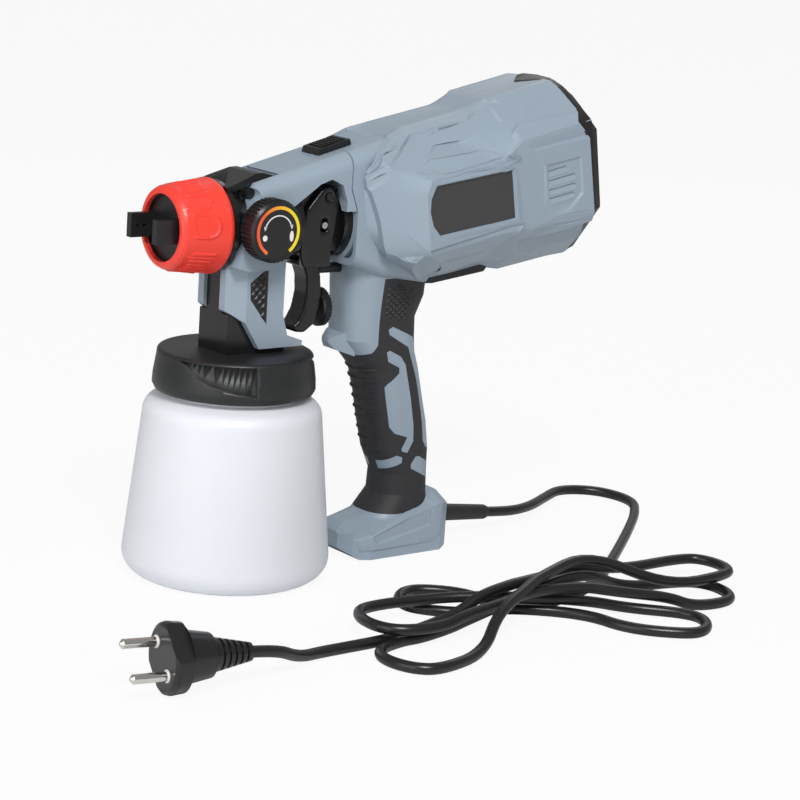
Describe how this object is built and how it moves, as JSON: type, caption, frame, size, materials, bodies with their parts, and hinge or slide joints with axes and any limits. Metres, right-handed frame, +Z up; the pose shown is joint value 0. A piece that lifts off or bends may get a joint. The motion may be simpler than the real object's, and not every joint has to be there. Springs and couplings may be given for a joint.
{
  "type": "electric paint spray gun",
  "caption": "Corded turbine spray gun with motor housing, pistol handle, trigger, red nozzle ring, screw-on paint container, and a coiled cord with plug.",
  "frame": {"origin": "centre of the container's base, on the floor plane", "axes": "+Z up, -X along the spray direction, handle and motor towards +X"},
  "size_m": [0.4692, 0.268, 0.2712],
  "materials": {
    "grey_plastic": "satin",
    "black_plastic": "satin",
    "grip_rubber": "matte",
    "red_plastic": "satin",
    "milky_plastic": "satin",
    "wheel_plastic": "satin",
    "plate_foil": "satin",
    "cord_sheath": "satin",
    "steel": "satin",
    "pin_nickel": "polished",
    "copper": "satin",
    "fan_plastic": "matte",
    "filter_foam": "matte",
    "seal_rubber": "matte",
    "tube_plastic": "satin"
  },
  "bodies": {
    "body": {"housing_left": "grey_plastic", "housing_right": "grey_plastic", "grip_left": "grip_rubber", "grip_right": "grip_rubber", "nameplate_left": "plate_foil", "nameplate_right": "plate_foil", "rear_cover": "black_plastic", "intake_filter": "filter_foam", "housing_screws": "steel", "motor_stator": "copper", "motor_bracket": "fan_plastic", "shaft_bearings": "steel", "brush_holders": "copper", "motor_mounts": "seal_rubber", "fan_casing": "fan_plastic", "fan_divider": "fan_plastic", "air_duct": "fan_plastic", "switch_body": "black_plastic", "capacitor": "fan_plastic", "cord_clamp": "fan_plastic", "clamp_screws": "steel", "strain_relief": "seal_rubber", "inner_lead": "cord_sheath", "plunger_spring": "steel", "cord_lead": "cord_sheath", "cord_hank": "cord_sheath", "cord_tail": "cord_sheath", "plug_body": "cord_sheath", "plug_pins": "pin_nickel"},
    "rotor": {"motor_shaft": "steel", "rotor_core": "copper", "commutator": "copper", "impellers": "fan_plastic"},
    "plunger": {"switch_plunger": "black_plastic"},
    "latch": {"latch_button": "black_plastic"},
    "head": {"head_core": "black_plastic", "head_cover_left": "grey_plastic", "head_cover_right": "grey_plastic", "neck_insert_left": "black_plastic", "neck_insert_right": "black_plastic", "front_hood": "black_plastic", "head_screws": "steel", "fluid_nozzle": "steel", "air_baffle": "black_plastic", "packing_nut": "steel", "spigot_seal": "seal_rubber", "container_lid": "black_plastic", "lid_gasket": "seal_rubber", "suction_tube": "tube_plastic", "trigger_pin": "steel", "needle_spring": "steel"},
    "trigger": {"trigger": "black_plastic"},
    "needle": {"needle": "steel"},
    "knob": {"volume_knob": "black_plastic"},
    "wheel": {"flow_wheel": "wheel_plastic"},
    "nut": {"union_nut": "red_plastic"},
    "cap": {"air_cap": "black_plastic"},
    "container": {"container": "milky_plastic"}
  },
  "joints": [
    {"name": "motor_spin", "type": "hinge", "parent": "body", "child": "rotor", "pos_m": [0.15, 0, 0.21], "axis": [0.9848, 0, 0.1736], "continuous": true},
    {"name": "plunger_slide", "type": "slide", "parent": "body", "child": "plunger", "axis": [1, 0, 0], "range_m": [0, 0.006], "deforming": ["plunger_spring"]},
    {"name": "latch_slide", "type": "slide", "parent": "body", "child": "latch", "axis": [0.9685, 0, 0.2489], "range_m": [0, 0.004], "stiffness_N_per_m": 400, "springref_m": -0.003},
    {"name": "head_release", "type": "slide", "parent": "body", "child": "head", "axis": [-1, 0, 0], "range_m": [0, 0.06]},
    {"name": "trigger_pull", "type": "hinge", "parent": "head", "child": "trigger", "pos_m": [0.044, 0, 0.209], "axis": [0, -1, 0], "range_deg": [0, 6.88], "stiffness_Nm_per_rad": 1, "springref_deg": -8.59},
    {"name": "needle_pull", "type": "slide", "parent": "head", "child": "needle", "axis": [1, 0, 0], "range_m": [0, 0.0032], "deforming": ["needle_spring"]},
    {"name": "knob_turn", "type": "hinge", "parent": "trigger", "child": "knob", "pos_m": [0.051, 0, 0.145], "axis": [1, 0, 0], "range_deg": [-150, 150]},
    {"name": "wheel_turn", "type": "hinge", "parent": "head", "child": "wheel", "pos_m": [-0.002, -0.03, 0.195], "axis": [0, -1, 0], "range_deg": [-135, 135]},
    {"name": "nut_turn", "type": "hinge", "parent": "head", "child": "nut", "pos_m": [-0.036, 0, 0.1935], "axis": [1, 0, 0], "range_deg": [0, 360]},
    {"name": "cap_turn", "type": "hinge", "parent": "head", "child": "cap", "pos_m": [-0.045, 0, 0.1935], "axis": [1, 0, 0], "range_deg": [0, 90]},
    {"name": "container_turn", "type": "hinge", "parent": "head", "child": "container", "pos_m": [0, 0, 0.06], "axis": [0, 0, 1], "range_deg": [0, 450]}
  ],
  "couplings": [
    {"joint": "needle_pull", "follows": "trigger_pull", "m_per_rad": 0.0155},
    {"joint": "plunger_slide", "follows": "trigger_pull", "m_per_rad": 0.046}
  ]
}
